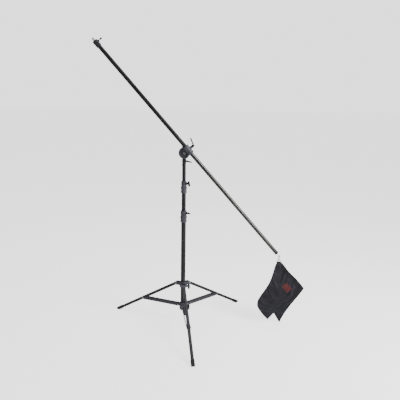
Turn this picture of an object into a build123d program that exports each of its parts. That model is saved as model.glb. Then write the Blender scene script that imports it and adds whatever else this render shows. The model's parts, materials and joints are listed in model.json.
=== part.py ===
from build123d import *
import math
import os

# Boom light stand: a spreader tripod, a three-section column, a tilting boom head and a boom that
# carries an empty saddle sandbag on its rear end. Millimetres, +Z up. Everything is built about the
# column's axis with the floor at z = 0, then moved so that the origin is the bottom centre of the
# whole stand's box.

# Column tubes: outer radius, wall and ends
TUBE_WALL = 1.5
MAIN_R, MAIN_BOTTOM, MAIN_TOP = 17.5, 114.0, 859.0
MIDDLE_R, MIDDLE_BOTTOM, MIDDLE_TOP = 15.5, 330.0, 1078.0
TOP_R, TOP_BOTTOM, TOP_TOP = 13.5, 515.0, 1246.0
RUNNING_GAP = 0.05
FREE_GAP = 0.4
GUIDE_LENGTH = 40.0

# Clamps on the tops of the main tube and the middle riser
CLAMP_BELOW, CLAMP_ABOVE = 42.0, 42.0
CLAMP_KNOB_ABOVE = 28.0
CLAMP_AZIMUTH = -35.0
CLAMP_BOSS_END = 29.0

# Tripod
LEG_AZIMUTHS = (-83.0, 37.0, 157.0)
TRIPOD_KNOB_AZIMUTH = -23.0
LEG_PIVOT_R, LEG_PIVOT_Z = 52.0, 325.0
FOOT_CIRCLE_R = 580.0
LEG_WIDTH, LEG_DEPTH, LEG_WALL = 22.0, 20.0, 1.5
LEG_END_ABOVE_FLOOR = 10.0
LEG_CLOSED_DEG = 2.0
BRACE_PIVOT_R, BRACE_PIVOT_Z = 36.0, 150.0
BRACE_ON_LEG = 338.0
BRACE_HEIGHT, BRACE_BAR, BRACE_INNER = 20.0, 2.0, 11.6
PIN_R, RIVET_HEAD_R = 3.0, 5.5
COLLAR_BORE_R, COLLAR_R = 19.4, 25.5
LOWER_COLLAR_BOTTOM, LOWER_COLLAR_TOP, LOWER_KNOB_Z = 116.0, 170.0, 141.0
LEG_COLLAR_BELOW, LEG_COLLAR_ABOVE, LEG_KNOB_BELOW = 26.0, 18.0, 14.0

# Boom head and boom
TILT_Z = 1323.5
DISC_R = 40.0
BOOM_R, BOOM_WALL = 14.0, 1.5
BOOM_TILT_DEG = 48.8
BOOM_OFFSET = 37.0
BOOM_Y = -13.0
SLEEVE_R, SLEEVE_LENGTH = 22.0, 66.0
LINER_R = 16.0
BOOM_FRONT_END, BOOM_JOINT, BOOM_REAR_END = -926.0, 36.0, 1021.0
STUD_R, STUD_LENGTH, SHANK_R = 7.92, 21.0, 6.5
RECEIVER_KNOB_Z = 1274.0
EYE_BEYOND_END, EYE_R = 33.0, 6.0

# Sandbag hanging from the rear eye on an oval link and a ring
WIRE_R = 2.0
LINK_R, LINK_DROP = 8.0, 33.5
RING_HALF, RING_DROP, RING_PLAY = 15.0, 16.0, 0.4
BAG_BACK, BAG_MIDDLE, BAG_FRONT = 8.0, -2.0, 20.0

BASE = (Align.CENTER, Align.CENTER, Align.MIN)

tilt = math.radians(BOOM_TILT_DEG)
ALONG = Vector(math.cos(tilt), 0, -math.sin(tilt))
OUTWARD = Vector(math.sin(tilt), 0, math.cos(tilt))
TILT_CENTRE = Vector(0, 0, TILT_Z)
BOOM_CENTRE = TILT_CENTRE + OUTWARD * BOOM_OFFSET + Vector(0, BOOM_Y, 0)

leg_angle = math.atan2(FOOT_CIRCLE_R - LEG_PIVOT_R, LEG_PIVOT_Z)
LEG_DOWN = Vector(math.sin(leg_angle), 0, -math.cos(leg_angle))
LEG_PIVOT = Vector(LEG_PIVOT_R, 0, LEG_PIVOT_Z)
LEG_LENGTH = (LEG_PIVOT_Z - LEG_END_ABOVE_FLOOR) / math.cos(leg_angle)
BRACE_PIVOT = Vector(BRACE_PIVOT_R, 0, BRACE_PIVOT_Z)
BRACE_JOINT = LEG_PIVOT + LEG_DOWN * BRACE_ON_LEG
BRACE_LENGTH = (BRACE_JOINT - BRACE_PIVOT).length
BRACE_OUT = (BRACE_JOINT - BRACE_PIVOT) * (1 / BRACE_LENGTH)


def tripod_fold():
    """Travel of the leg collar and turn of a leg and a brace from open to folded."""
    closed = math.radians(LEG_CLOSED_DEG)
    joint_r = LEG_PIVOT_R + BRACE_ON_LEG * math.sin(closed)
    rise = math.sqrt(BRACE_LENGTH**2 - (joint_r - BRACE_PIVOT_R) ** 2)
    pivot_z = BRACE_PIVOT_Z + rise + BRACE_ON_LEG * math.cos(closed)
    leg_turn = math.degrees(leg_angle) - LEG_CLOSED_DEG
    open_rise = math.degrees(math.atan2(BRACE_OUT.Z, BRACE_OUT.X))
    closed_rise = math.degrees(math.atan2(rise, joint_r - BRACE_PIVOT_R))
    return pivot_z - LEG_PIVOT_Z, leg_turn, open_rise - closed_rise


def rod(start, end, radius):
    """A round bar between two points."""
    run = end - start
    return Plane(origin=start, z_dir=run) * Cylinder(radius, run.length, align=BASE)


def tube(radius, bore, bottom, top):
    """An upright tube on the column's axis."""
    wall = Cylinder(radius, top - bottom, align=BASE) - Cylinder(bore, top - bottom, align=BASE)
    return Pos(0, 0, bottom) * wall


def radial_plane(azimuth, radius, height, roll=0.0):
    """A plane on a ray from the column: z outward, x across it, turned by roll."""
    turn = math.radians(azimuth)
    out = Vector(math.cos(turn), math.sin(turn), 0)
    across = Vector(-math.sin(turn), math.cos(turn), 0)
    lean = math.radians(roll)
    return Plane(origin=out * radius + Vector(0, 0, height),
                 x_dir=across * math.cos(lean) + Vector(0, 0, math.sin(lean)), z_dir=out)


def along_boom(station, offset=0.0):
    """A point on the boom's axis, or offset away from the tilt axis."""
    return BOOM_CENTRE + ALONG * station + OUTWARD * offset


def boom_piece(start, end, radius, bore=0.0):
    """A round piece or sleeve on the boom's axis."""
    piece = rod(along_boom(start), along_boom(end), radius)
    if bore:
        piece -= rod(along_boom(start - 1), along_boom(end + 1), bore)
    return piece


def wing(length, depth, thickness):
    """A wing knob's moulded part: a hub and a rounded wing, with the turning axis on z."""
    outline = SlotOverall(length, depth)
    blade = extrude(Plane.XZ.offset(-thickness / 2) * Pos(0, depth / 2 + 5) * outline, thickness)
    blade = fillet(blade.edges().filter_by(GeomType.CIRCLE), thickness * 0.3)
    return blade + Cylinder(thickness * 0.9, depth * 0.7 + 3, align=BASE)


def lever(reach, lift, thickness, cant):
    """A clamping lever: a hub on z and a tapering arm along x that rises by cant degrees."""
    hub = Cylinder(9, lift + thickness, align=BASE)
    hub = chamfer(hub.edges().group_by(Axis.Z)[-1], 1.5)
    arm = extrude(make_hull(
        (Circle(6.5).edges() + (Pos(reach - 4, 0) * Circle(4)).edges())
    ), thickness)
    arm = fillet(arm.edges().group_by(Axis.Z)[-1], 1.5)
    return hub + Pos(0, 0, lift) * Rot(0, -cant, 0) * arm


def main_tube():
    return tube(MAIN_R, MAIN_R - TUBE_WALL, MAIN_BOTTOM, MAIN_TOP)


def column_plug():
    flange = Pos(0, 0, MAIN_BOTTOM - 6) * Cylinder(MAIN_R + 1, 6, align=BASE)
    flange = chamfer(flange.edges().group_by(Axis.Z)[0], 2)
    stem = tube(MAIN_R - TUBE_WALL - RUNNING_GAP, 12, MAIN_BOTTOM, MAIN_BOTTOM + 14)
    return flange + stem


def riser(radius, bottom, top):
    return tube(radius, radius - TUBE_WALL, bottom, top)


def riser_guide(radius, outer, bottom):
    """Nylon plug on a riser's foot, which runs in the bore of the section below."""
    head = tube(outer, radius - 4, bottom - 8, bottom)
    stem = tube(radius - TUBE_WALL - RUNNING_GAP, radius - 4, bottom, bottom + 18)
    return head + stem


def clamp(outer_r, below_r, riser_r, joint_z):
    """Cast clamp on a tube's top end: a socket below, a guide bore above and a screw boss."""
    bottom, top = joint_z - CLAMP_BELOW, joint_z + CLAMP_ABOVE
    with BuildPart() as body:
        with BuildSketch(Plane.XZ):
            with BuildLine():
                Polyline((below_r, bottom), (outer_r + 1.5, bottom), (outer_r + 1.5, bottom + 8),
                         (outer_r, bottom + 11), (outer_r, joint_z - 14), (outer_r + 2.5, joint_z - 10),
                         (outer_r + 2.5, joint_z - 2), (outer_r - 0.5, joint_z + 2),
                         (outer_r - 0.5, top - 4), (outer_r - 3, top), (riser_r + FREE_GAP, top),
                         (riser_r + FREE_GAP, top - 4), (below_r, top - 4), close=True)
            make_face()
        revolve(axis=Axis.Z)
    screw_z = joint_z + CLAMP_KNOB_ABOVE
    boss = radial_plane(CLAMP_AZIMUTH, riser_r + 3, screw_z) * Cylinder(
        9, CLAMP_BOSS_END - riser_r - 3, align=BASE)
    boss -= Pos(0, 0, joint_z) * Cylinder(below_r, CLAMP_ABOVE - 4, align=BASE)
    piece = body.part + boss
    for side in (90, 180, 270):
        rib = Rot(0, 0, CLAMP_AZIMUTH + side) * Pos(outer_r - 0.5, 0, joint_z + 20) * Box(3, 5, 36)
        piece += rib
    return piece - screw_bore(CLAMP_AZIMUTH, screw_z)


def clamp_bush(below_r, riser_r, joint_z):
    """Nylon sleeve that guides a riser inside its clamp."""
    sleeve = tube(below_r - RUNNING_GAP, riser_r + RUNNING_GAP, joint_z + 0.2, joint_z + CLAMP_ABOVE - 4.2)
    return sleeve - screw_bore(CLAMP_AZIMUTH, joint_z + CLAMP_KNOB_ABOVE)


def screw_bore(azimuth, height):
    return radial_plane(azimuth, 10, height) * Cylinder(PIN_R + RUNNING_GAP, 60, align=BASE)


def screw(azimuth, height, tube_r, outer):
    """Steel screw from just off a tube's wall out to its knob."""
    start = tube_r + 0.3
    return radial_plane(azimuth, start, height) * Cylinder(PIN_R, outer - start, align=BASE)


def collar_bush(bottom, top, knob_z):
    sleeve = tube(COLLAR_BORE_R - RUNNING_GAP, MAIN_R + RUNNING_GAP, bottom, top)
    return sleeve - screw_bore(TRIPOD_KNOB_AZIMUTH, knob_z)


def collar(bottom, top, knob_z):
    """Ring of a tripod collar with its screw boss, before its lugs."""
    ring = tube(COLLAR_R, COLLAR_BORE_R, bottom, top)
    ring = chamfer(ring.edges().filter_by(GeomType.CIRCLE).filter_by(
        lambda edge: edge.radius > COLLAR_R - 0.1), 1.5)
    boss = radial_plane(TRIPOD_KNOB_AZIMUTH, COLLAR_R - 4, knob_z) * Cylinder(9, 12, align=BASE)
    return ring + boss - screw_bore(TRIPOD_KNOB_AZIMUTH, knob_z)


def lower_collar():
    """Collar of the three braces."""
    piece = collar(LOWER_COLLAR_BOTTOM, LOWER_COLLAR_TOP, LOWER_KNOB_Z)
    reach = BRACE_PIVOT_R - COLLAR_R + 4
    for azimuth in LEG_AZIMUTHS:
        lug = Pos(COLLAR_R - 4 + reach / 2, 0, BRACE_PIVOT_Z) * Box(reach, 2 * BRACE_INNER - 0.8, 18)
        tip = rod(BRACE_PIVOT - Vector(0, BRACE_INNER - 0.4, 0),
                  BRACE_PIVOT + Vector(0, BRACE_INNER - 0.4, 0), 9)
        hole = rod(BRACE_PIVOT - Vector(0, 20, 0), BRACE_PIVOT + Vector(0, 20, 0), PIN_R)
        piece += Rot(0, 0, azimuth) * (lug + tip)
        piece -= Rot(0, 0, azimuth) * hole
    return piece


def leg_collar():
    """Collar of the three legs, which slides on the main tube to fold them."""
    bottom, top = LEG_PIVOT_Z - LEG_COLLAR_BELOW, LEG_PIVOT_Z + LEG_COLLAR_ABOVE
    piece = collar(bottom, top, LEG_PIVOT_Z - LEG_KNOB_BELOW)
    inner = LEG_WIDTH / 2 + 0.5
    ear_thickness, ear_r = 4.0, 11.0
    for azimuth in LEG_AZIMUTHS:
        for side in (-1, 1):
            near = LEG_PIVOT + Vector(0, side * inner, 0)
            far = LEG_PIVOT + Vector(0, side * (inner + ear_thickness), 0)
            plate = Pos(LEG_PIVOT_R - 16, side * (inner + ear_thickness / 2), LEG_PIVOT_Z) * Box(
                32, ear_thickness, 2 * ear_r)
            ear = plate + rod(near, far, ear_r) - rod(near, far, PIN_R)
            piece += Rot(0, 0, azimuth) * ear
    return piece - Cylinder(COLLAR_BORE_R, 900, align=BASE)


def headed_pins(pivot, half, head, reach):
    """Three pins across the lugs of a collar, with a head at each end."""
    pins = []
    for azimuth in LEG_AZIMUTHS:
        span = Vector(0, half, 0)
        pin = rod(pivot - span, pivot + span, PIN_R - 0.02)
        for side in (-1, 1):
            pin += rod(pivot + Vector(0, side * half, 0), pivot + Vector(0, side * (half + reach), 0), head)
        pins.append(Rot(0, 0, azimuth) * pin)
    return Compound(children=pins)


def leg_section(start, end, width, depth, corner):
    """A rounded bar along a leg between two distances from its pivot."""
    plane = Plane(origin=LEG_PIVOT + LEG_DOWN * start, x_dir=(0, 1, 0), z_dir=LEG_DOWN)
    return extrude(plane * RectangleRounded(width, depth, corner), end - start)


def leg_tube(azimuth):
    outer = leg_section(14, LEG_LENGTH, LEG_WIDTH, LEG_DEPTH, 5)
    inner = leg_section(13, LEG_LENGTH + 1, LEG_WIDTH - 2 * LEG_WALL, LEG_DEPTH - 2 * LEG_WALL, 3.5)
    return Rot(0, 0, azimuth) * (outer - inner)


def leg_hinge_block(azimuth):
    """Cast plug in a leg's top end, which turns on the collar's pin."""
    half = Vector(0, LEG_WIDTH / 2, 0)
    knuckle = rod(LEG_PIVOT - half, LEG_PIVOT + half, LEG_DEPTH / 2)
    neck = leg_section(0, 14, LEG_WIDTH, LEG_DEPTH, 1)
    stem = leg_section(14, 40, LEG_WIDTH - 2 * LEG_WALL - 0.1, LEG_DEPTH - 2 * LEG_WALL - 0.1, 3.4)
    hole = rod(LEG_PIVOT - Vector(0, 20, 0), LEG_PIVOT + Vector(0, 20, 0), PIN_R + 0.03)
    return Rot(0, 0, azimuth) * (knuckle + neck + stem - hole)


def foot(azimuth):
    """Rubber foot over a leg's end, cut flat on the floor."""
    grip = leg_section(LEG_LENGTH - 30, LEG_LENGTH + 18, LEG_WIDTH + 4, LEG_DEPTH + 4, 6)
    pocket = leg_section(LEG_LENGTH - 35, LEG_LENGTH + 0.2, LEG_WIDTH, LEG_DEPTH, 5)
    ground = Pos(FOOT_CIRCLE_R, 0, -50) * Box(200, 80, 100)
    return Rot(0, 0, azimuth) * (grip - pocket - ground)


def brace(azimuth):
    """Two flat bars that straddle the leg, joined by a web near the collar."""
    length = BRACE_LENGTH
    place = Plane(origin=BRACE_PIVOT, x_dir=BRACE_OUT, z_dir=(0, -1, 0))
    outline = Pos(length / 2, 0) * SlotOverall(length + BRACE_HEIGHT, BRACE_HEIGHT)
    holes = Circle(PIN_R + 0.03) + Pos(length, 0) * Circle(PIN_R)
    pieces = Part()
    for side in (-1, 1):
        offset = BRACE_INNER if side > 0 else -BRACE_INNER - BRACE_BAR
        pieces += extrude(place.offset(offset) * (outline - holes), BRACE_BAR)
    web = Pos(90, BRACE_HEIGHT / 2 - BRACE_BAR / 2, 0) * Box(120, BRACE_BAR, 2 * BRACE_INNER)
    return Rot(0, 0, azimuth) * (pieces + place * web)


def brace_rivets(azimuth):
    """Rivet heads on the bars' outer faces, with stubs that fill the bars' holes."""
    rivets = []
    for side in (-1, 1):
        inner = BRACE_JOINT + Vector(0, side * (BRACE_INNER + 0.1), 0)
        face = BRACE_JOINT + Vector(0, side * (BRACE_INNER + BRACE_BAR), 0)
        outer = BRACE_JOINT + Vector(0, side * (BRACE_INNER + BRACE_BAR + 2.5), 0)
        rivets.append(rod(inner, face, PIN_R - 0.02) + rod(face, outer, RIVET_HEAD_R))
    return Rot(0, 0, azimuth) * Compound(children=rivets)


def riser_spigot():
    """Plug in the top riser's end with the standard stud that the head sits on."""
    stem = Pos(0, 0, TOP_TOP - 30) * Cylinder(TOP_R - TUBE_WALL - RUNNING_GAP, 30, align=BASE)
    flange = Pos(0, 0, TOP_TOP) * Cylinder(TOP_R, 4, align=BASE)
    stud = Pos(0, 0, TOP_TOP + 4) * Cylinder(STUD_R, 29, align=BASE)
    groove = tube(STUD_R + 1, 6.2, RECEIVER_KNOB_Z - 5, RECEIVER_KNOB_Z + 4)
    return stem + flange + chamfer(stud.edges().group_by(Axis.Z)[-1], 1) - groove


def spigot_screw():
    """Screw that holds the plug in the top riser."""
    height = TOP_TOP - 8
    head = radial_plane(180, TOP_R, height) * Cylinder(4, 3.2, align=BASE)
    return chamfer(head.edges().group_by(Axis.X)[0], 1)


def head_receiver():
    """Socket on the stud, web and fixed rear disc of the tilt joint, in one casting."""
    socket_bottom, socket_top = TOP_TOP + 4.4, TILT_Z - DISC_R - 2.5
    socket = Pos(0, 0, socket_bottom) * Cylinder(14.5, socket_top - socket_bottom, align=BASE)
    disc = rod(Vector(0, 10.4, TILT_Z), Vector(0, 21, TILT_Z), DISC_R)
    web = Pos(0, 15.7, (socket_bottom + TILT_Z) / 2) * Box(25, 10.6, TILT_Z - socket_bottom)
    screw_axis = Vector(0, 0, RECEIVER_KNOB_Z)
    boss = rod(screw_axis - Vector(0, 18, 0), screw_axis - Vector(0, 10, 0), 6.5)
    piece = socket + disc + web + boss
    piece -= Pos(0, 0, socket_bottom - 1) * Cylinder(STUD_R + RUNNING_GAP, 29.6, align=BASE)
    piece -= rod(screw_axis - Vector(0, 30, 0), screw_axis, PIN_R + RUNNING_GAP)
    return piece - rod(Vector(0, 0, TILT_Z), Vector(0, 30, TILT_Z), 5)


def tilt_bolt():
    """Bolt through both discs, with its domed head in front."""
    shank = rod(Vector(0, -3, TILT_Z), Vector(0, 38, TILT_Z), 5 - 0.02)
    head = rod(Vector(0, -9, TILT_Z), Vector(0, -2.4, TILT_Z), 9)
    return shank + fillet(head.edges().group_by(Axis.Y)[0], 2.5)


def boom_sleeve():
    """Front disc of the tilt joint and the sleeve that holds the boom, in one casting."""
    disc = rod(Vector(0, -2, TILT_Z), Vector(0, 10, TILT_Z), DISC_R)
    rim = rod(Vector(0, -3.5, TILT_Z), Vector(0, -2, TILT_Z), DISC_R) - rod(
        Vector(0, -3.5, TILT_Z), Vector(0, -2, TILT_Z), DISC_R - 5)
    sleeve = boom_piece(-SLEEVE_LENGTH / 2, SLEEVE_LENGTH / 2, SLEEVE_R)
    piece = disc + rim + chamfer(sleeve.edges().filter_by(GeomType.CIRCLE), 2)
    for station in (-SLEEVE_LENGTH / 2 + 3, SLEEVE_LENGTH / 2 - 9):
        piece += boom_piece(station, station + 6, SLEEVE_R + 1.5)
    piece += rod(along_boom(0, 12), along_boom(0, 32), 10)
    piece -= boom_piece(-SLEEVE_LENGTH, SLEEVE_LENGTH, LINER_R)
    piece -= rod(along_boom(0, 10), along_boom(0, 40), PIN_R + RUNNING_GAP)
    return piece - rod(Vector(0, -10, TILT_Z), Vector(0, 20, TILT_Z), 5.03)


def boom_liner():
    """Nylon liner that the boom slides in."""
    piece = boom_piece(-SLEEVE_LENGTH / 2 + 1, SLEEVE_LENGTH / 2 - 1, LINER_R - RUNNING_GAP,
                       BOOM_R + RUNNING_GAP)
    return piece - rod(along_boom(0, 10), along_boom(0, 40), PIN_R + RUNNING_GAP)


def boom_socket():
    """Casting on the boom's front end that holds the stud for a lamp head."""
    piece = boom_piece(BOOM_FRONT_END - 24, BOOM_FRONT_END + 22, 18)
    piece = chamfer(piece.edges().filter_by(GeomType.CIRCLE), 2)
    piece += rod(along_boom(BOOM_FRONT_END - 8, 12), along_boom(BOOM_FRONT_END - 8, 24), 7)
    piece -= boom_piece(BOOM_FRONT_END, BOOM_FRONT_END + 30, BOOM_R)
    piece -= boom_piece(BOOM_FRONT_END - 30, BOOM_FRONT_END - 1, SHANK_R)
    return piece - rod(along_boom(BOOM_FRONT_END - 8, 0), along_boom(BOOM_FRONT_END - 8, 40), PIN_R)


def boom_spigot():
    """Standard stud beyond the front socket, on a thinner shank that the wing screw holds."""
    face = BOOM_FRONT_END - 24.1
    stud = boom_piece(face - STUD_LENGTH, face, STUD_R)
    stud = chamfer(stud.edges().filter_by(GeomType.CIRCLE), 0.5)
    return stud + boom_piece(face, BOOM_FRONT_END - 1.5, SHANK_R - 0.02)


def boom_end_cap():
    """Plug in the boom's rear end, bored for the eye's shank."""
    plug = boom_piece(BOOM_REAR_END - 20, BOOM_REAR_END, BOOM_R - BOOM_WALL - RUNNING_GAP)
    flange = boom_piece(BOOM_REAR_END, BOOM_REAR_END + 4, BOOM_R + 0.5)
    flange = chamfer(flange.edges().filter_by(GeomType.CIRCLE), 1.2)
    return plug + flange - boom_piece(BOOM_REAR_END - 15, BOOM_REAR_END + 5, WIRE_R + 0.02)


def boom_eye():
    """Wire eye on the end cap that carries the sandbag's link."""
    shank = boom_piece(BOOM_REAR_END - 14.9, BOOM_REAR_END + EYE_BEYOND_END - EYE_R, WIRE_R)
    ring = Plane(origin=eye_point(), x_dir=(1, 0, 0), z_dir=(0, 1, 0)) * Torus(EYE_R, WIRE_R)
    return shank + ring


def eye_point():
    return along_boom(BOOM_REAR_END + EYE_BEYOND_END)


def hang_point():
    return eye_point() - Vector(0, 0, LINK_DROP)


def bent_wire(place, half, bottom, top, corner):
    """A closed rounded rectangle of round wire in a plane, with straight runs at top and bottom."""
    outline = Pos(0, (bottom + top) / 2) * RectangleRounded(2 * half, top - bottom, corner)
    path = place * outline.wire()
    section = Plane(origin=path @ 0, z_dir=path % 0) * Circle(WIRE_R)
    return sweep(section, path=path)


def bag_link():
    """Steel link through the boom's eye and the sandbag's ring, with a straight run at each."""
    place = Plane(origin=eye_point(), x_dir=(0, 1, 0), z_dir=(1, 0, 0))
    return bent_wire(place, LINK_R, -LINK_DROP, 0, 4)


def bag_ring():
    """Rectangular ring on the sandbag's top corner, riding on the link's lower run."""
    place = Plane(origin=hang_point(), x_dir=(1, 0, 0), z_dir=(0, -1, 0))
    top = 2 * WIRE_R + RING_PLAY
    return bent_wire(place, RING_HALF, top - RING_DROP, top, 5)


def sandbag():
    """Empty saddle sandbag hung by a corner: a back panel with the front pouch slid across it."""
    hang = hang_point()
    top = hang.Z + WIRE_R + RING_PLAY - RING_DROP - 0.1
    back = Polyline((-16, 0), (13, 0), (40, -27), (85, -83), (143, -140), (194, -197), (207, -219),
                    (83, -405), (45, -471), (34, -500), (1, -457), (-13, -420), (-60, -330), (-50, -150),
                    close=True)
    front = Polyline((-16, 0), (5, 0), (64, -82), (123, -155), (153, -209), (94, -305), (36, -372),
                     (-17, -419), (-59, -471), (-71, -471), (-113, -414), (-145, -366), (-150, -337),
                     (-145, -305), (-121, -260), (-86, -202), (-62, -151), (-47, -101), (-30, -32), close=True)
    place = Plane(origin=(hang.X, BOOM_Y, top), x_dir=(1, 0, 0), z_dir=(0, -1, 0))
    panel = extrude(place.offset(-BAG_BACK) * make_face(back), BAG_BACK + BAG_MIDDLE)
    pouch = extrude(place.offset(BAG_MIDDLE) * make_face(front), BAG_FRONT - BAG_MIDDLE)
    return panel + pouch


def small_knobs():
    """The five wing knobs and their screws, by name."""
    places = {
        "leg_collar": (TRIPOD_KNOB_AZIMUTH, LEG_PIVOT_Z - LEG_KNOB_BELOW, MAIN_R, 36.0, 90.0),
        "lower_collar": (TRIPOD_KNOB_AZIMUTH, LOWER_KNOB_Z, MAIN_R, 36.0, 90.0),
        "main_clamp": (CLAMP_AZIMUTH, MAIN_TOP + CLAMP_KNOB_ABOVE, MIDDLE_R, CLAMP_BOSS_END + 2.5, -15.0),
        "middle_clamp": (CLAMP_AZIMUTH, MIDDLE_TOP + CLAMP_KNOB_ABOVE, TOP_R, CLAMP_BOSS_END + 2.5, -72.0),
    }
    knobs = {}
    for name, (azimuth, height, tube_r, outer, roll) in places.items():
        moulding = radial_plane(azimuth, outer, height, roll) * wing(44, 15, 8)
        bar = screw(azimuth, height, tube_r, outer)
        knobs[name + "_knob"] = moulding
        knobs[name + "_screw"] = bar
    station = BOOM_FRONT_END - 8
    start, end = along_boom(station, SHANK_R + 0.3), along_boom(station, 33)
    knobs["spigot_screw_bar"] = rod(start, end, PIN_R - 0.02)
    knobs["spigot_knob"] = Plane(origin=end, x_dir=(0, 1, 0), z_dir=OUTWARD) * wing(30, 11, 6)
    return knobs


def levers():
    """The three clamping levers, each with its screw in one piece."""
    receiver = Plane(origin=(0, -18.4, RECEIVER_KNOB_Z), x_dir=(0.985, 0, -0.174), z_dir=(0, -1, 0)) * (
        lever(58, 9, 7.5, 10) + Pos(0, 0, -11.9) * Cylinder(PIN_R, 12, align=BASE))
    lock = Plane(origin=along_boom(0, 32.6), x_dir=ALONG * -1, z_dir=OUTWARD) * (
        lever(58, 12, 9, 19) + Pos(0, 0, 14.3 - 32.6) * Cylinder(PIN_R, 18.4, align=BASE))
    handle = Plane(origin=(0, 21.4, TILT_Z), x_dir=ALONG * -0.89 + OUTWARD * 0.456, z_dir=(0, 1, 0)) * (
        lever(64, 12, 7, 0) - Cylinder(5 + 0.03, 17, align=BASE))
    return {"receiver_lever": receiver, "boom_lock_lever": lock, "tilt_handle": handle}


def build_all():
    parts = {
        "main_tube": main_tube(),
        "column_plug": column_plug(),
        "lower_collar": lower_collar(),
        "lower_collar_bush": collar_bush(LOWER_COLLAR_BOTTOM + 1, LOWER_COLLAR_TOP - 1, LOWER_KNOB_Z),
        "brace_pins": headed_pins(BRACE_PIVOT, BRACE_INNER + BRACE_BAR + 0.3, RIVET_HEAD_R, 2.2),
        "main_clamp": clamp(22.5, MAIN_R, MIDDLE_R, MAIN_TOP),
        "main_clamp_bush": clamp_bush(MAIN_R, MIDDLE_R, MAIN_TOP),
        "leg_collar": leg_collar(),
        "leg_collar_bush": collar_bush(LEG_PIVOT_Z - LEG_COLLAR_BELOW + 1, LEG_PIVOT_Z + LEG_COLLAR_ABOVE - 1,
                                       LEG_PIVOT_Z - LEG_KNOB_BELOW),
        "leg_pins": headed_pins(LEG_PIVOT, LEG_WIDTH / 2 + 4.5, RIVET_HEAD_R, 2.2),
        "middle_riser": riser(MIDDLE_R, MIDDLE_BOTTOM, MIDDLE_TOP),
        "middle_riser_guide": riser_guide(MIDDLE_R, MAIN_R - TUBE_WALL - RUNNING_GAP, MIDDLE_BOTTOM),
        "middle_clamp": clamp(20.5, MIDDLE_R, TOP_R, MIDDLE_TOP),
        "middle_clamp_bush": clamp_bush(MIDDLE_R, TOP_R, MIDDLE_TOP),
        "top_riser": riser(TOP_R, TOP_BOTTOM, TOP_TOP),
        "top_riser_guide": riser_guide(TOP_R, MIDDLE_R - TUBE_WALL - RUNNING_GAP, TOP_BOTTOM),
        "riser_spigot": riser_spigot(),
        "riser_spigot_screw": spigot_screw(),
        "head_receiver": head_receiver(),
        "tilt_bolt": tilt_bolt(),
        "boom_sleeve": boom_sleeve(),
        "boom_liner": boom_liner(),
        "boom_front_tube": boom_piece(BOOM_FRONT_END, BOOM_JOINT, BOOM_R, BOOM_R - BOOM_WALL),
        "boom_rear_tube": boom_piece(BOOM_JOINT, BOOM_REAR_END, BOOM_R, BOOM_R - BOOM_WALL),
        "boom_ferrule": boom_piece(BOOM_JOINT - 45, BOOM_JOINT + 45, BOOM_R - BOOM_WALL - RUNNING_GAP, 10.5),
        "boom_socket": boom_socket(),
        "boom_spigot": boom_spigot(),
        "boom_end_cap": boom_end_cap(),
        "boom_eye": boom_eye(),
        "bag_link": bag_link(),
        "bag_ring": bag_ring(),
        "sandbag": sandbag(),
    }
    for number, azimuth in enumerate(LEG_AZIMUTHS, start=1):
        parts[f"leg_tube_{number}"] = leg_tube(azimuth)
        parts[f"leg_hinge_block_{number}"] = leg_hinge_block(azimuth)
        parts[f"foot_{number}"] = foot(azimuth)
        parts[f"brace_{number}"] = brace(azimuth)
        parts[f"brace_rivets_{number}"] = brace_rivets(azimuth)
    parts.update(small_knobs())
    parts.update(levers())
    return parts


def origin_shift(parts):
    """From the column's foot to the bottom centre of the whole stand's box."""
    boxes = [piece.bounding_box() for piece in parts.values()]
    low_x, high_x = min(box.min.X for box in boxes), max(box.max.X for box in boxes)
    low_y, high_y = min(box.min.Y for box in boxes), max(box.max.Y for box in boxes)
    return Vector(-(low_x + high_x) / 2, -(low_y + high_y) / 2, 0)


PARTS = build_all()
SHIFT = origin_shift(PARTS)
os.makedirs("parts", exist_ok=True)
for node, piece in PARTS.items():
    export_step(Pos(SHIFT.X, SHIFT.Y, SHIFT.Z) * piece, f"parts/{node}.step")
print(len(PARTS), "nodes, shift", SHIFT, "fold", tripod_fold())
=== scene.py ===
import json
import math

import bmesh
import bpy
import numpy as np
from mathutils import Matrix, Vector


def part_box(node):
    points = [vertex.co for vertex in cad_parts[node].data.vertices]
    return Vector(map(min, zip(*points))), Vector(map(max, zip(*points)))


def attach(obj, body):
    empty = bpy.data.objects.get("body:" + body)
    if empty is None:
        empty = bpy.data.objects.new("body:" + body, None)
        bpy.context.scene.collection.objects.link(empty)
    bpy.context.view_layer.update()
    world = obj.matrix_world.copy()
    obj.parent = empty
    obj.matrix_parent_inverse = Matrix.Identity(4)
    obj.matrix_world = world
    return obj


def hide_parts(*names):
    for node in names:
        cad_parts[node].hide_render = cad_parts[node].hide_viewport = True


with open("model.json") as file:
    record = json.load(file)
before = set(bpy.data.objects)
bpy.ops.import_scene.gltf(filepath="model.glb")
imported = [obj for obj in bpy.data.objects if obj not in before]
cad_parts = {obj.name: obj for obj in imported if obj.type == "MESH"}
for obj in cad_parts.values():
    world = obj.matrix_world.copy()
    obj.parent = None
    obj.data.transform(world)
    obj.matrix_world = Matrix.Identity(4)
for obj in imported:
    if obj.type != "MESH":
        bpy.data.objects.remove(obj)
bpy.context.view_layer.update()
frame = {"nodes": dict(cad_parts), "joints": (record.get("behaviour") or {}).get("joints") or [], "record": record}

NODES = frame["nodes"]
JOINTS = {joint["name"]: joint for joint in frame["joints"]}


def middle(node):
    low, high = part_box(node)
    return (low + high) / 2


# The column's axis in the row frame, and the camera's place about it
COLUMN = middle("main_tube")
CAMERA_BACK, CAMERA_SIDE, CAMERA_HEIGHT = 3.108, -0.005, 1.747
CAMERA_YAW, CAMERA_PITCH, CAMERA_ROLL = 0.0396, 0.2411, 0.0182
CAMERA_LENS, CAMERA_SENSOR = 39.6, 36.0


# ---------------------------------------------------------------- materials

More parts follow.
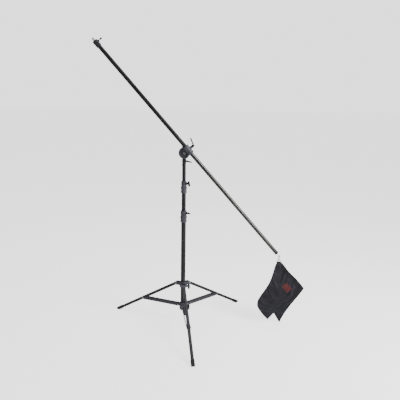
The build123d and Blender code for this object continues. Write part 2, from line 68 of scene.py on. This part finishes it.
class Shader:
    """A node material under construction, with short calls for the nodes that the finishes share."""

    def __init__(self, name):
        self.material = bpy.data.materials.new(name)
        self.material.use_nodes = True
        self.tree = self.material.node_tree
        self.bsdf = self.tree.nodes["Principled BSDF"]
        self.place = self.add("ShaderNodeTexCoord").outputs["Object"]

    def add(self, kind, **values):
        node = self.tree.nodes.new(kind)
        for key, value in values.items():
            setattr(node, key, value)
        return node

    def link(self, source, target):
        self.tree.links.new(source, target)

    def set(self, **values):
        for key, value in values.items():
            self.bsdf.inputs[key.replace("_", " ")].default_value = value

    def noise(self, scale, detail=4.0, rough=0.55, stretch=(1, 1, 1)):
        mapping = self.add("ShaderNodeMapping")
        mapping.inputs["Scale"].default_value = stretch
        self.link(self.place, mapping.inputs["Vector"])
        noise = self.add("ShaderNodeTexNoise")
        noise.inputs["Scale"].default_value = scale
        noise.inputs["Detail"].default_value = detail
        noise.inputs["Roughness"].default_value = rough
        self.link(mapping.outputs[0], noise.inputs["Vector"])
        return noise.outputs["Fac"]

    def between(self, source, low, high, first, last):
        node = self.add("ShaderNodeMapRange")
        for key, value in (("From Min", low), ("From Max", high), ("To Min", first), ("To Max", last)):
            node.inputs[key].default_value = value
        self.link(source, node.inputs["Value"])
        return node.outputs["Result"]

    def math(self, operation, first, second=0.0):
        node = self.add("ShaderNodeMath", operation=operation)
        for socket, value in zip(node.inputs, (first, second)):
            if isinstance(value, (int, float)):
                socket.default_value = value
            else:
                self.link(value, socket)
        return node.outputs[0]

    def mix(self, factor, first, second):
        node = self.add("ShaderNodeMix", data_type="RGBA")
        self.link(factor, node.inputs["Factor"])
        for name, value in (("A", first), ("B", second)):
            socket = [s for s in node.inputs if s.name == name and s.type == "RGBA"][0]
            if isinstance(value, tuple):
                socket.default_value = (*value, 1)
            else:
                self.link(value, socket)
        return [s for s in node.outputs if s.type == "RGBA"][0]

    def edge_wear(self, start, end, radius=0.0015):
        """From 0 on flats to 1 on sharp edges, read from a bevelled normal."""
        bevel = self.add("ShaderNodeBevel", samples=4)
        bevel.inputs["Radius"].default_value = radius
        geometry = self.add("ShaderNodeNewGeometry")
        dot = self.add("ShaderNodeVectorMath", operation="DOT_PRODUCT")
        self.link(bevel.outputs[0], dot.inputs[0])
        self.link(geometry.outputs["Normal"], dot.inputs[1])
        return self.between(dot.outputs["Value"], end, start, 1.0, 0.0)

    def bump(self, height, distance, strength=1.0):
        bump = self.add("ShaderNodeBump")
        bump.inputs["Distance"].default_value = distance
        bump.inputs["Strength"].default_value = strength
        self.link(height, bump.inputs["Height"])
        self.link(bump.outputs[0], self.bsdf.inputs["Normal"])

    def colour(self, source):
        self.link(source, self.bsdf.inputs["Base Color"])

    def roughness(self, source):
        self.link(source, self.bsdf.inputs["Roughness"])


def anodised(name, dark, light, gloss, along, metal=0.55):
    """Anodised tube: fine drawn grain along the tube, faint clouding and handling marks."""
    s = Shader(name)
    cloud = s.noise(9, 3)
    grain = s.noise(900, 2, stretch=along)
    s.colour(s.mix(s.between(cloud, 0.35, 0.7, 0, 1), dark, light))
    s.roughness(s.math("ADD", s.between(grain, 0.3, 0.7, -0.04, 0.04),
                       s.between(cloud, 0.3, 0.7, gloss - 0.03, gloss + 0.05)))
    s.bump(grain, 0.000008)
    s.set(Metallic=metal, Specular_IOR_Level=0.5, Coat_Weight=0.12, Coat_Roughness=0.25)
    return s.material


def cast_paint(name, dark, light, gloss):
    """Painted die casting: orange peel and pitting, paint worn lighter on the edges."""
    s = Shader(name)
    cloud = s.noise(35, 4)
    grit = s.noise(1500, 3)
    wear = s.math("MULTIPLY", s.edge_wear(0.995, 0.93), s.between(s.noise(160, 5), 0.45, 0.6, 0, 0.8))
    base = s.mix(s.between(cloud, 0.35, 0.65, 0, 1), dark, light)
    s.colour(s.mix(wear, base, tuple(min(1, 2.6 * c + 0.05) for c in light)))
    s.roughness(s.between(grit, 0.3, 0.7, gloss - 0.06, gloss + 0.1))
    s.bump(s.math("ADD", grit, s.math("MULTIPLY", cloud, 0.6)), 0.00012)
    s.set(Metallic=0.1, Specular_IOR_Level=0.5)
    return s.material


def moulded(name, dark, light, gloss):
    """Moulded plastic: a fine spark-eroded grain with slightly polished edges."""
    s = Shader(name)
    grain = s.noise(2200, 2)
    cloud = s.noise(50, 3)
    s.colour(s.mix(s.between(cloud, 0.35, 0.65, 0, 1), dark, light))
    polish = s.math("MULTIPLY", s.edge_wear(0.99, 0.9), -0.12)
    s.roughness(s.math("ADD", s.between(grain, 0.3, 0.7, gloss - 0.04, gloss + 0.08), polish))
    s.bump(grain, 0.00008)
    s.set(Specular_IOR_Level=0.45)
    return s.material


def bright_metal(name, dark, light, gloss, coat=0.0):
    """Plated steel: faint brushing, water marks and small pits."""
    s = Shader(name)
    cloud = s.noise(60, 4)
    scratch = s.noise(700, 2, stretch=(1, 1, 8))
    s.colour(s.mix(s.between(cloud, 0.3, 0.7, 0, 1), dark, light))
    s.roughness(s.math("ADD", s.between(scratch, 0.3, 0.7, -0.04, 0.06),
                       s.between(cloud, 0.3, 0.7, gloss, gloss + 0.06)))
    s.bump(scratch, 0.00002)
    s.set(Metallic=1.0, Coat_Weight=coat)
    return s.material


def rubber(name):
    s = Shader(name)
    dust = s.noise(70, 5)
    grain = s.noise(1200, 3)
    s.colour(s.mix(s.between(dust, 0.5, 0.75, 0, 1), (0.012, 0.012, 0.012), (0.06, 0.058, 0.052)))
    s.roughness(s.between(grain, 0.3, 0.7, 0.62, 0.85))
    s.bump(grain, 0.0001)
    return s.material


def woven(name, dark, light, pitch, gloss, sheen, angle=0.8):
    """Plain-weave cloth: crossed threads in relief, slubs, and lighter dusty wear on the ridges."""
    s = Shader(name)
    mapping = s.add("ShaderNodeMapping")
    mapping.inputs["Rotation"].default_value = (0, angle, 0)
    s.link(s.place, mapping.inputs["Vector"])
    threads = []
    for axis in ("X", "Z"):
        wave = s.add("ShaderNodeTexWave", wave_type="BANDS", bands_direction=axis)
        wave.inputs["Scale"].default_value = 0.314 / pitch
        wave.inputs["Distortion"].default_value = 0.6
        wave.inputs["Detail Scale"].default_value = 2.0
        s.link(mapping.outputs[0], wave.inputs["Vector"])
        threads.append(wave.outputs["Fac"])
    weave = s.math("MULTIPLY", threads[0], threads[1])
    cloud, slub = s.noise(14, 5), s.noise(420, 3, stretch=(1, 1, 0.2))
    shade = s.math("ADD", s.between(cloud, 0.35, 0.68, 0, 0.75), s.math("MULTIPLY", weave, 0.35))
    s.colour(s.mix(shade, dark, light))
    s.roughness(s.between(slub, 0.3, 0.7, gloss - 0.06, gloss + 0.08))
    s.bump(s.math("ADD", weave, s.math("MULTIPLY", slub, 0.4)), 0.00025, 0.8)
    s.set(Sheen_Weight=sheen, Sheen_Roughness=0.4, Specular_IOR_Level=0.3)
    s.bsdf.inputs["Sheen Tint"].default_value = (0.8, 0.82, 0.95, 1)
    return s.material


# Each material slot's finish: the function that makes it, and its colours, gloss and so on
FINISHES = {
    "black_tube": (anodised, (0.03, 0.03, 0.034), (0.042, 0.042, 0.048), 0.34, (1, 1, 0.02), 0.7),
    "boom_black": (anodised, (0.012, 0.012, 0.014), (0.022, 0.022, 0.026), 0.42, (0.05, 1, 0.05)),
    "boom_grey": (anodised, (0.065, 0.066, 0.063), (0.085, 0.087, 0.083), 0.2, (0.05, 1, 0.05), 0.9),
    "cast_grey": (cast_paint, (0.06, 0.06, 0.075), (0.085, 0.085, 0.105), 0.42),
    "cast_black": (cast_paint, (0.014, 0.014, 0.017), (0.024, 0.024, 0.029), 0.42),
    "brace_steel": (cast_paint, (0.045, 0.042, 0.055), (0.07, 0.066, 0.083), 0.42),
    "black_plastic": (moulded, (0.014, 0.014, 0.014), (0.024, 0.024, 0.025), 0.45),
    "lever_metal": (cast_paint, (0.012, 0.012, 0.014), (0.02, 0.02, 0.023), 0.4),
    "nylon": (moulded, (0.03, 0.03, 0.032), (0.045, 0.045, 0.047), 0.4),
    "steel": (bright_metal, (0.42, 0.42, 0.43), (0.55, 0.55, 0.55), 0.3),
    "chrome": (bright_metal, (0.6, 0.6, 0.6), (0.72, 0.72, 0.71), 0.16, 0.2),
    "foot_rubber": (rubber,),
    "bag_fabric": (woven, (0.011, 0.011, 0.015), (0.027, 0.026, 0.035), 0.0011, 0.64, 0.09),
    "webbing": (woven, (0.008, 0.008, 0.01), (0.018, 0.018, 0.022), 0.0016, 0.6, 0.06, 0.0),
    "red_patch": (woven, (0.06, 0.012, 0.014), (0.15, 0.036, 0.038), 0.0014, 0.7, 0.05),
    "thread": (moulded, (0.03, 0.03, 0.034), (0.05, 0.05, 0.056), 0.55),
    "red_thread": (moulded, (0.2, 0.07, 0.07), (0.3, 0.12, 0.11), 0.55),
}
MATERIALS = {name: make(name, *values) for name, (make, *values) in FINISHES.items()}


def paint_nodes():
    slot_of = {part["node"]: part["material_slot"] for part in frame["record"]["subparts"]}
    for node, piece in NODES.items():
        material = MATERIALS.get(slot_of[node])
        if material:
            piece.data.materials.clear()
            piece.data.materials.append(material)


# ---------------------------------------------------------------- sandbag

MM = 0.001
HANG = Vector(JOINTS["sandbag_swing"]["pos_m"])
BAG_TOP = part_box("sandbag")[1].z
GRID = 56                       # points along each side of a layer
CLOTH_FRAMES = 24
TAPE_WIDTH, BACK_TAPE, FRONT_TAPE = 9.0, 3.4, 4.2
TAPE_OVERHANG = 1.5             # how far the binding stands out past the cloth's edge
TAPE_SEAM = 5.5                 # from the cloth's edge to the binding's stitches
POUCH_HALF = 8.5                # half the empty pouch's depth
PATCH_MIDDLE, PATCH_SIZE, PATCH_TURN = (72.0, -205.0), (66.0, 50.0), math.radians(-47)
PATCH_OUT, PATCH_IN = 1.3, 1.0  # the patch's faces, out of and into the pouch's surface
PATCH_STEPS = 12
TAB_HALF_WIDTH, TAB_THICK, TAB_TURN_R, TAB_SHIFT = 12.5, 1.7, 3.1, 2.0
TAB_END, TAB_NECK = -46, -14    # heights where the tab ends and where it leaves the bag
TAB_FRONT, TAB_BACK = (9.0, 4.6), (-6.5, -4.6)  # depths of its two tails, at TAB_END and TAB_NECK

# The two layers' edges, in millimetres from the point where the bag hangs: x across, z down from the
# bag's top. Each layer has four edges, named by where they lie when it hangs by its corner.
BACK_EDGES = {
    "upper_right": ((-17, -1), (13, 0), (40, -27), (85, -83), (143, -140), (192, -196), (207, -219)),
    "lower_right": ((207, -219), (146, -310), (83, -405), (50, -466), (35, -503)),
    "upper_left": ((-17, -1), (-22, -50), (-38, -130), (-66, -210), (-92, -270)),
    "lower_left": ((-92, -270), (-62, -330), (-30, -392), (4, -452), (35, -503)),
}
FRONT_EDGES = {
    "upper_right": ((-17, -1), (7, -1), (62, -78), (122, -152), (153, -209)),
    "lower_right": ((153, -209), (96, -303), (38, -370), (-16, -417), (-62, -470)),
    "upper_left": ((-17, -1), (-30, -34), (-47, -101), (-62, -151), (-86, -202), (-121, -260),
                   (-146, -308), (-150, -334)),
    "lower_left": ((-150, -334), (-144, -366), (-113, -414), (-84, -448), (-62, -470)),
}


def run_lengths(line):
    """Length along a line of points, up to each of them."""
    return np.concatenate([[0], np.cumsum(np.linalg.norm(np.diff(line, axis=0), axis=1))])


def along(points, share):
    """Points of a smooth line through the given ones, at shares of its length from 0 to 1."""
    points = np.array(points, float)
    padded = np.vstack([2 * points[0] - points[1], points, 2 * points[-1] - points[-2]])
    line = []
    for a, b, c, d in zip(padded, padded[1:], padded[2:], padded[3:]):
        for u in np.linspace(0, 1, 12, endpoint=False):
            line.append(0.5 * (2 * b + (c - a) * u + (2 * a - 5 * b + 4 * c - d) * u**2
                               + (3 * b - a - 3 * c + d) * u**3))
    line = np.array(line + [points[-1]])
    run = run_lengths(line)
    return np.stack([np.interp(share * run[-1], run, line[:, k]) for k in range(2)], axis=-1)


def resample(line, pitch):
    """Points about one pitch apart along a line."""
    run = run_lengths(line)
    count = max(2, round(run[-1] / pitch))
    at = np.linspace(0, run[-1], count + 1)
    return np.stack([np.interp(at, run, line[:, k]) for k in range(line.shape[1])], axis=-1)


def layer_grid(edges):
    """A smooth surface between four edges: an array of (x, z), s across and t downward."""
    share = np.linspace(0, 1, GRID)
    top, bottom = along(edges["upper_right"], share), along(edges["lower_left"], share)
    left, right = along(edges["upper_left"], share), along(edges["lower_right"], share)
    s, t = share[:, None, None], share[None, :, None]
    corners = ((1 - s) * (1 - t) * top[0] + s * (1 - t) * top[-1]
               + (1 - s) * t * bottom[0] + s * t * bottom[-1])
    return ((1 - t) * top[:, None] + t * bottom[:, None]
            + (1 - s) * left[None, :] + s * right[None, :] - corners)


def drape(grid, depth, phase):
    """Depth of the folds that fan out from the hanging corner, in millimetres."""
    angle = np.arctan2(grid[..., 0], 25 - grid[..., 1])
    reach = np.hypot(grid[..., 0], grid[..., 1]) / 420
    grow = np.clip(reach, 0, 1) ** 0.8
    folds = (np.cos(9.5 * angle + phase) + 0.45 * np.cos(21 * angle + 1.7 * phase + 2.2 * reach)
             + 0.25 * np.cos(13 * reach + 5 * angle + phase))
    return depth * grow * folds


def away_from_corner(grid, distance):
    """From 0 at the hanging corner to 1 at a distance from it."""
    return np.clip(np.hypot(grid[..., 0], grid[..., 1]) / distance, 0, 1)


def to_world(grid, depth):
    """From (x, z) and depth towards -Y, in millimetres about the hanging corner, to the frame."""
    return np.stack([HANG.x + grid[..., 0] * MM, HANG.y - depth * MM, BAG_TOP + grid[..., 1] * MM], axis=-1)


def bag_piece(name, points, faces, material, smooth=True):
    mesh = bpy.data.meshes.new(name)
    mesh.from_pydata([tuple(p) for p in points], [], faces)
    mesh.validate()
    mesh.materials.append(MATERIALS[material])
    piece = bpy.data.objects.new(name, mesh)
    bpy.context.scene.collection.objects.link(piece)
    bm = bmesh.new()
    bm.from_mesh(mesh)
    bmesh.ops.delete(bm, geom=[v for v in bm.verts if not v.link_faces], context="VERTS")
    bmesh.ops.recalc_face_normals(bm, faces=bm.faces)
    bm.to_mesh(mesh)
    bm.free()
    if smooth:
        mesh.shade_smooth()
    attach(piece, "sandbag")
    return piece


def grid_faces(rows, columns, start=0, flip=False):
    faces = []
    for i in range(rows - 1):
        for j in range(columns - 1):
            a = start + i * columns + j
            face = (a, a + columns, a + columns + 1, a + 1)
            faces.append(face[::-1] if flip else face)
    return faces


def slab_faces(rows, columns):
    """Faces of a closed slab: two grids of points, one after the other, and the rim between them."""
    count = rows * columns
    rim = ([i * columns for i in range(rows)] + [(rows - 1) * columns + j for j in range(1, columns)]
           + [i * columns + columns - 1 for i in range(rows - 2, -1, -1)] + list(range(columns - 2, 0, -1)))
    sides = [(a, b, b + count, a + count) for a, b in zip(rim, rim[1:] + rim[:1])]
    return grid_faces(rows, columns) + grid_faces(rows, columns, count, True) + sides


def on_border(i, j):
    return i in (0, GRID - 1) or j in (0, GRID - 1)


def apply_modifiers(piece):
    graph = bpy.context.evaluated_depsgraph_get()
    mesh = bpy.data.meshes.new_from_object(piece.evaluated_get(graph))
    piece.modifiers.clear()
    old = piece.data
    piece.data = mesh
    bpy.data.meshes.remove(old)


def crumple(piece, growth, pressure, cap):
    """Let the cloth grow a little inside its sewn border, so that it buckles as slack cloth does."""
    border = [i * GRID + j for i in range(GRID) for j in range(GRID) if on_border(i, j)]
    piece.vertex_groups.new(name="pin").add(border, 1.0, "REPLACE")
    rest = np.array([v.co for v in piece.data.vertices])
    cloth = piece.modifiers.new("cloth", "CLOTH")
    settings = cloth.settings
    settings.quality = 6
    settings.mass = 0.25
    settings.tension_stiffness = settings.compression_stiffness = 25
    settings.shear_stiffness = 8
    settings.bending_stiffness = 0.35
    settings.shrink_min = -growth
    settings.vertex_group_mass = "pin"
    settings.use_pressure = pressure > 0
    settings.uniform_pressure_force = pressure
    settings.effector_weights.gravity = 0.35
    cloth.point_cache.frame_start, cloth.point_cache.frame_end = 1, CLOTH_FRAMES
    for step in range(1, CLOTH_FRAMES + 1):
        bpy.context.scene.frame_set(step)
    apply_modifiers(piece)
    bpy.context.scene.frame_set(1)
    piece.vertex_groups.clear()
    moved = np.array([v.co for v in piece.data.vertices]) - rest
    length = np.linalg.norm(moved, axis=1, keepdims=True)
    moved *= np.minimum(1, cap / np.maximum(length, 1e-9))
    piece.data.vertices.foreach_set("co", (rest + moved).ravel())
    piece.data.update()


def finish_cloth(piece, thickness=0.0):
    """Give a single layer its thickness, if asked, and smooth the piece once."""
    if thickness:
        solid = piece.modifiers.new("thickness", "SOLIDIFY")
        solid.thickness = thickness
        solid.offset = 0
    smooth = piece.modifiers.new("smooth", "SUBSURF")
    smooth.levels = smooth.render_levels = 1
    apply_modifiers(piece)
    piece.data.shade_smooth()


def back_panel():
    """Single layer of cloth behind, which shows along its right edges and its lower tip."""
    grid = layer_grid(BACK_EDGES)
    depth = -3.0 * away_from_corner(grid, 60) + drape(grid, 2.2, 0.6)
    points = to_world(grid, depth).reshape(-1, 3)
    piece = bag_piece("bag_back_panel", points, grid_faces(GRID, GRID), "bag_fabric")
    crumple(piece, 0.02, 0, 0.006)
    finish_cloth(piece, 0.0016)
    return piece, grid, depth


def front_pouch():
    """Empty pouch in front: two walls that meet in a rounded fold on the left and in seams elsewhere."""
    grid = layer_grid(FRONT_EDGES)
    share = np.linspace(0, 1, GRID)
    s, t = share[:, None], share[None, :]
    fold = np.sqrt(np.clip(s / 0.1, 0, 1))
    half = POUCH_HALF * fold * (1 - s) ** 0.75 * np.sin(np.pi * t) ** 0.55
    middle = 2 + 8.0 * away_from_corner(grid, 90) + drape(grid, 1.3, 2.9)
    front = to_world(grid, middle + half).reshape(-1, 3)
    back = to_world(grid, middle - half).reshape(-1, 3)
    count = GRID * GRID
    join = {count + i * GRID + j: i * GRID + j + (0 if on_border(i, j) else count)
            for i in range(GRID) for j in range(GRID)}
    faces = grid_faces(GRID, GRID)
    for face in grid_faces(GRID, GRID, count, True):
        faces.append(tuple(join[k] for k in face))
    piece = bag_piece("bag_front_pouch", np.vstack([front, back]), faces, "bag_fabric")
    crumple(piece, 0.03, 0.4, 0.008)
    finish_cloth(piece)
    return piece, grid, middle


def edge_line(grid, depth):
    """Points and depths round a layer's three bound edges, from the hanging corner to the left one."""
    last = GRID - 1
    picks = [(i, 0) for i in range(GRID)]
    picks += [(last, j) for j in range(1, GRID)]
    picks += [(i, last) for i in range(last - 1, -1, -1)]
    return np.array([(*grid[p], depth[p]) for p in picks])


def inward(line, centre):
    """In-plane unit vectors along a line, and from it towards the layer's middle."""
    tangent = np.gradient(line[:, :2], axis=0)
    tangent /= np.linalg.norm(tangent, axis=1, keepdims=True)
    normal = np.stack([-tangent[:, 1], tangent[:, 0]], axis=-1)
    side = np.sign(np.sum(normal * (centre - line[:, :2]), axis=1, keepdims=True))
    side[side == 0] = 1
    return tangent, normal * np.median(side)


def binding(name, line, centre, thick):
    """Folded tape over a raw edge: a flat oval section along the edge line."""
    line = resample(line, 5.0)
    _, normal = inward(line, centre)
    around = np.linspace(0, 2 * np.pi, 12, endpoint=False)
    across = np.sign(np.cos(around)) * np.abs(np.cos(around)) ** 0.6 * TAPE_WIDTH / 2
    out = np.sign(np.sin(around)) * np.abs(np.sin(around)) ** 0.6 * thick / 2
    rings = []
    for point, direction in zip(line, normal):
        flat = point[:2] + direction * (TAPE_WIDTH / 2 - TAPE_OVERHANG) + np.outer(across, direction)
        rings.append(to_world(flat, point[2] + out))
    n = len(around)
    faces = [(a * n + b, a * n + (b + 1) % n, (a + 1) * n + (b + 1) % n, (a + 1) * n + b)
             for a in range(len(rings) - 1) for b in range(n)]
    faces += [tuple(range(n))[::-1], tuple((len(rings) - 1) * n + b for b in range(n))]
    return bag_piece(name, np.vstack(rings), faces, "webbing")


def stitches(name, rows, material):
    """Short thread runs: each a low pointed lozenge that stands a little proud of the cloth.

    Each row is a thread run's middle, its direction, the cloth's depth there and which side it is on.
    """
    length, width, proud, sunk = 3.2, 0.7, 0.45, 0.3
    shape = ((-0.5, 0), (-0.2, 0.5), (0.2, 0.5), (0.5, 0), (0.2, -0.5), (-0.2, -0.5))
    sides = ((0, 1, 6), (1, 2, 7, 6), (2, 3, 7), (3, 4, 7), (4, 5, 6, 7), (5, 0, 6), (5, 4, 3, 2, 1, 0))
    points, faces = [], []
    for middle, tangent, depth, sign in rows:
        cross = np.array([-tangent[1], tangent[0]])
        start = len(points)
        flat = np.array([middle + tangent * length * a + cross * width * b for a, b in shape])
        ridge = np.array([middle + tangent * length * a for a in (-0.22, 0.22)])
        points += list(to_world(flat, np.full(6, depth - sign * sunk)))
        points += list(to_world(ridge, np.full(2, depth + sign * proud)))
        faces += [tuple(start + k for k in side) for side in sides]
    return bag_piece(name, points, faces, material, smooth=False)


def binding_rows(line, centre, lift, sign):
    """Thread runs along a binding, on the side that sign gives."""
    line = resample(line, 4.6)
    tangent, normal = inward(line, centre)
    middle = line[:, :2] + normal * TAPE_SEAM
    return [(m, t, d + sign * lift, sign) for m, t, d in zip(middle[1:-1], tangent[1:-1], line[1:-1, 2])]


def surface_depth(piece, x, z):
    """Depth of a piece's front surface at a point of the bag's plane, in millimetres."""
    origin = Vector((HANG.x + x * MM, HANG.y - 0.2, BAG_TOP + z * MM))
    hit, place, _, _ = piece.ray_cast(origin, Vector((0, 1, 0)))
    return (HANG.y - place.y) / MM if hit else 12.0


def add_patch(pouch):
    """Plain red cloth patch, sewn on the pouch square to its edges."""
    middle, (length, height) = np.array(PATCH_MIDDLE), PATCH_SIZE
    run = np.array([math.cos(PATCH_TURN), math.sin(PATCH_TURN)])
    rise = np.array([-run[1], run[0]])
    share = np.linspace(-0.5, 0.5, PATCH_STEPS)
    flat = np.array([[middle + run * a * length + rise * b * height for b in share] for a in share])
    depth = np.array([[surface_depth(pouch, *p) for p in row] for row in flat])
    top = to_world(flat, depth + PATCH_OUT).reshape(-1, 3)
    base = to_world(flat, depth - PATCH_IN).reshape(-1, 3)
    faces = slab_faces(PATCH_STEPS, PATCH_STEPS)
    piece = bag_piece("bag_patch", np.vstack([top, base]), faces, "red_patch")
    bevel = piece.modifiers.new("round", "BEVEL")
    bevel.width, bevel.segments, bevel.limit_method = 0.0006, 2, "ANGLE"
    apply_modifiers(piece)
    piece.data.shade_smooth()
    rows = []
    for sign_a, sign_b in ((1, 0), (-1, 0), (0, 1), (0, -1)):
        direction, reach = (rise, height) if sign_a else (run, length)
        offset = run * sign_a * (length / 2 - 3) + rise * sign_b * (height / 2 - 3)
        for step in np.arange(-reach / 2 + 5, reach / 2 - 4, 4.2):
            place = middle + offset + direction * step
            rows.append((place, direction, surface_depth(pouch, *place) + PATCH_OUT, 1))
    stitches("bag_patch_stitches", rows, "red_thread")


def tab_path():
    """The tab's middle line as (depth, z): up the front, over the ring's lower bar, down the back."""
    bar_z = (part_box("bag_ring")[0].z - BAG_TOP) / MM + 2.0
    path = [(TAB_FRONT[0], TAB_END), (7.0, -30), (TAB_FRONT[1], TAB_NECK)]
    for angle in np.linspace(0, np.pi, 9):
        path.append((TAB_TURN_R * math.cos(angle), bar_z + TAB_TURN_R * math.sin(angle)))
    path += [(TAB_BACK[1], TAB_NECK), (-5.5, -30), (TAB_BACK[0], TAB_END)]
    return resample(np.array(path), 2.0)


def webbing_tab():
    """Webbing looped over the ring's lower bar and sewn down on both faces of the bag's corner."""
    path = tab_path()
    across = np.linspace(-1, 1, 9)
    tangent = np.gradient(path, axis=0)
    tangent /= np.linalg.norm(tangent, axis=1, keepdims=True)
    normal = np.stack([tangent[:, 1], -tangent[:, 0]], axis=-1)
    layers = []
    for side in (0.5, -0.5):
        for p, n in zip(path, normal):
            y, z = p + n * TAB_THICK * side
            layers += [(TAB_HALF_WIDTH * a - TAB_SHIFT, z, y + 0.25 * side * (1 - a * a)) for a in across]
    layers = np.array(layers)
    points = to_world(layers[:, :2], layers[:, 2])
    finish_cloth(bag_piece("bag_tab", points, slab_faces(len(path), len(across)), "webbing"))
    rows = []
    for depths, sign in ((TAB_FRONT, 1), (TAB_BACK, -1)):
        down = [(x, z, (0.0, 1.0)) for z in np.arange(-43, -22, 3.6) for x in (-10.5, 10.5)]
        level = [(x, z, (1.0, 0.0)) for x in np.arange(-8, 9, 3.6) for z in (-43.5, -22)]
        for x, z, direction in down + level:
            depth = np.interp(z, [TAB_END, TAB_NECK], depths) + sign * 0.9
            rows.append((np.array([x - TAB_SHIFT, z]), np.array(direction), depth, sign))
    stitches("bag_tab_stitches", rows, "thread")


def build_bag():
    back, back_grid, back_depth = back_panel()
    pouch, front_grid, front_depth = front_pouch()
    back_line, back_centre = edge_line(back_grid, back_depth), np.array([50.0, -240.0])
    front_line, front_centre = edge_line(front_grid, front_depth), np.array([0.0, -240.0])
    back_tape = binding("bag_back_binding", back_line, back_centre, BACK_TAPE)
    binding("bag_front_binding", front_line, front_centre, FRONT_TAPE)
    rows = []
    for line, centre, tape in ((back_line, back_centre, BACK_TAPE), (front_line, front_centre, FRONT_TAPE)):
        for sign in (1, -1):
            rows += binding_rows(line, centre, tape / 2 + 0.05, sign)
    seam_stitches = stitches("bag_binding_stitches", rows, "thread")
    add_patch(pouch)
    webbing_tab()
    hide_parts("sandbag")


# ---------------------------------------------------------------- stage

# Strength of the floor and the surround as seen, and of the surround as a light on the object
FLOOR_GLOW, WORLD_SEEN, WORLD_LIGHT = 1.85, 2.1, 0.2


def light(name, width, height, power, place, aim):
    data = bpy.data.lights.new(name, "AREA")
    data.shape, data.size, data.size_y, data.energy = "RECTANGLE", width, height, power
    lamp = bpy.data.objects.new(name, data)
    lamp.location = place
    lamp.rotation_euler = (Vector(aim) - Vector(place)).to_track_quat("-Z", "Y").to_euler()
    bpy.context.scene.collection.objects.link(lamp)


def build_stage():
    """Pale floor and surround, bright as seen and dim as a light, with four soft lamps."""
    floor_mesh = bpy.data.meshes.new("floor")
    bm = bmesh.new()
    bmesh.ops.create_grid(bm, x_segments=1, y_segments=1, size=40)
    bm.to_mesh(floor_mesh)
    floor = bpy.data.objects.new("floor", floor_mesh)
    bpy.context.scene.collection.objects.link(floor)
    s = Shader("floor")
    s.colour(s.mix(s.between(s.noise(3), 0.3, 0.7, 0, 1), (0.86, 0.86, 0.86), (0.89, 0.89, 0.89)))
    s.set(Roughness=0.9)
    s.bsdf.inputs["Emission Color"].default_value = (1, 1, 1, 1)
    s.link(s.math("MULTIPLY", s.add("ShaderNodeLightPath").outputs["Is Camera Ray"], FLOOR_GLOW),
           s.bsdf.inputs["Emission Strength"])
    floor_mesh.materials.append(s.material)
    world = bpy.data.worlds.new("studio")
    world.use_nodes = True
    tree = world.node_tree
    path = tree.nodes.new("ShaderNodeLightPath")
    strength = tree.nodes.new("ShaderNodeMapRange")
    strength.inputs["To Min"].default_value = WORLD_LIGHT
    strength.inputs["To Max"].default_value = WORLD_SEEN
    tree.links.new(path.outputs["Is Camera Ray"], strength.inputs["Value"])
    tree.nodes["Background"].inputs["Color"].default_value = (1, 1, 1, 1)
    tree.links.new(strength.outputs["Result"], tree.nodes["Background"].inputs["Strength"])
    bpy.context.scene.world = world
    aim = COLUMN + Vector((0, 0, 0.5))
    light("key", 0.9, 2.2, 110, aim + Vector((2.6, -1.5, 1.3)), aim)
    light("strip", 0.5, 1.0, 8, COLUMN + Vector((2.4, -1.4, 0.45)), COLUMN + Vector((0, 0, 0.45)))
    light("fill", 1.6, 1.6, 14, aim + Vector((-2.4, -2.2, 0.8)), aim)
    light("top", 2.4, 2.4, 40, aim + Vector((0.2, 0.3, 2.6)), aim)


def build_camera():
    data = bpy.data.cameras.new("camera")
    data.lens, data.sensor_width = CAMERA_LENS, CAMERA_SENSOR
    camera = bpy.data.objects.new("camera", data)
    turn = (Matrix.Rotation(-CAMERA_YAW, 4, "Z") @ Matrix.Rotation(math.pi / 2 - CAMERA_PITCH, 4, "X")
            @ Matrix.Rotation(CAMERA_ROLL, 4, "Z"))
    place = Vector((COLUMN.x + CAMERA_SIDE, COLUMN.y - CAMERA_BACK, CAMERA_HEIGHT))
    camera.matrix_world = Matrix.Translation(place) @ turn
    bpy.context.scene.collection.objects.link(camera)
    bpy.context.scene.camera = camera


paint_nodes()
build_bag()
build_stage()
build_camera()
